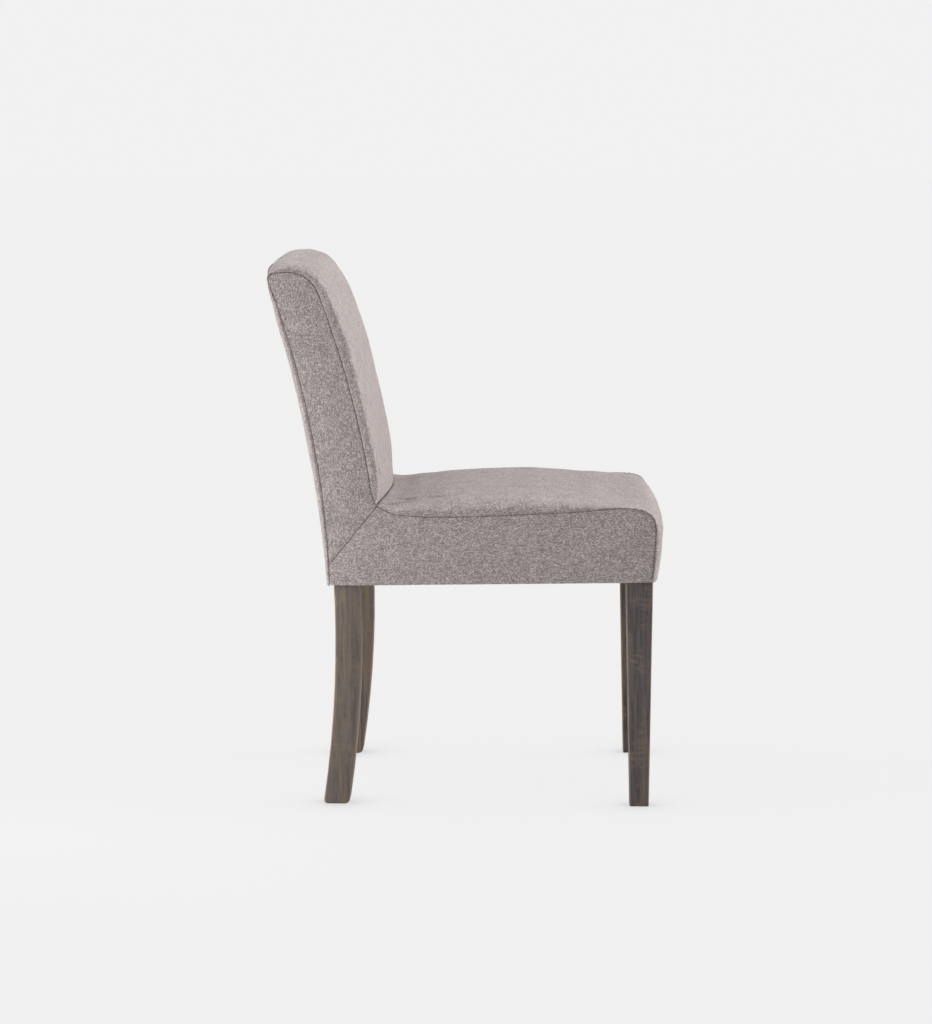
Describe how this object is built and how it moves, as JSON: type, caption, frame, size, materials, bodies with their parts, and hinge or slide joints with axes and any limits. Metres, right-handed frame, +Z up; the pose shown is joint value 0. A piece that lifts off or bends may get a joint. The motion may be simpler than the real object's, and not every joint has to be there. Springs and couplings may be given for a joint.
{
  "type": "dining chair",
  "caption": "Upholstered parsons dining chair: padded curved back, crowned seat rolling over its front edge, boxed sides with mitred seams, tapered front legs and sabre rear legs.",
  "frame": {"origin": "on the floor, under the middle of the bounding box", "axes": "+Z up, -Y towards the front of the seat, +X towards the left of a sitter"},
  "size_m": [0.46, 0.6142, 0.8464],
  "materials": {
    "cover_fabric": "linen-look melange weave, matt",
    "stained_wood": "dark grey-brown stain under a satin lacquer",
    "frame_wood": "raw planed beech",
    "foam": "open-cell upholstery foam",
    "wadding": "polyester wadding",
    "webbing": "woven elastic webbing",
    "lining_cloth": "black non-woven cloth",
    "glide_nylon": "moulded nylon",
    "screw_steel": "zinc-plated steel"
  },
  "bodies": {
    "root": {"seat_cover": "cover_fabric", "inside_back_cover": "cover_fabric", "outside_back_cover": "cover_fabric", "back_side_cover_left": "cover_fabric", "back_side_cover_right": "cover_fabric", "seat_side_cover_left": "cover_fabric", "seat_side_cover_right": "cover_fabric", "back_side_pad_left": "wadding", "back_side_pad_right": "wadding", "seat_side_pad_left": "wadding", "seat_side_pad_right": "wadding", "rear_leg_left": "stained_wood", "rear_leg_right": "stained_wood", "front_leg_left": "stained_wood", "front_leg_right": "stained_wood", "rear_glide_left": "glide_nylon", "rear_glide_right": "glide_nylon", "front_glide_left": "glide_nylon", "front_glide_right": "glide_nylon", "front_block_screw_1_left": "screw_steel", "front_block_screw_1_right": "screw_steel", "front_block_screw_2_left": "screw_steel", "front_block_screw_2_right": "screw_steel", "rear_block_screw_1_left": "screw_steel", "rear_block_screw_1_right": "screw_steel", "rear_block_screw_2_left": "screw_steel", "rear_block_screw_2_right": "screw_steel", "front_corner_block_left": "frame_wood", "front_corner_block_right": "frame_wood", "rear_corner_block_left": "frame_wood", "rear_corner_block_right": "frame_wood", "side_seat_rail_left": "frame_wood", "side_seat_rail_right": "frame_wood", "front_seat_rail": "frame_wood", "rear_seat_rail": "frame_wood", "lower_back_rail": "frame_wood", "crest_rail": "frame_wood", "seat_web_long_1": "webbing", "seat_web_long_2": "webbing", "seat_web_long_3": "webbing", "seat_web_long_4": "webbing", "seat_web_long_5": "webbing", "seat_web_cross_1": "webbing", "seat_web_cross_2": "webbing", "seat_web_cross_3": "webbing", "seat_platform_cloth": "lining_cloth", "back_web_1": "webbing", "back_web_2": "webbing", "back_web_3": "webbing", "back_platform_cloth": "lining_cloth", "seat_foam": "foam", "back_foam": "foam", "front_rail_pad": "wadding", "outside_back_pad": "wadding", "dust_cover": "lining_cloth"}
  },
  "joints": []
}
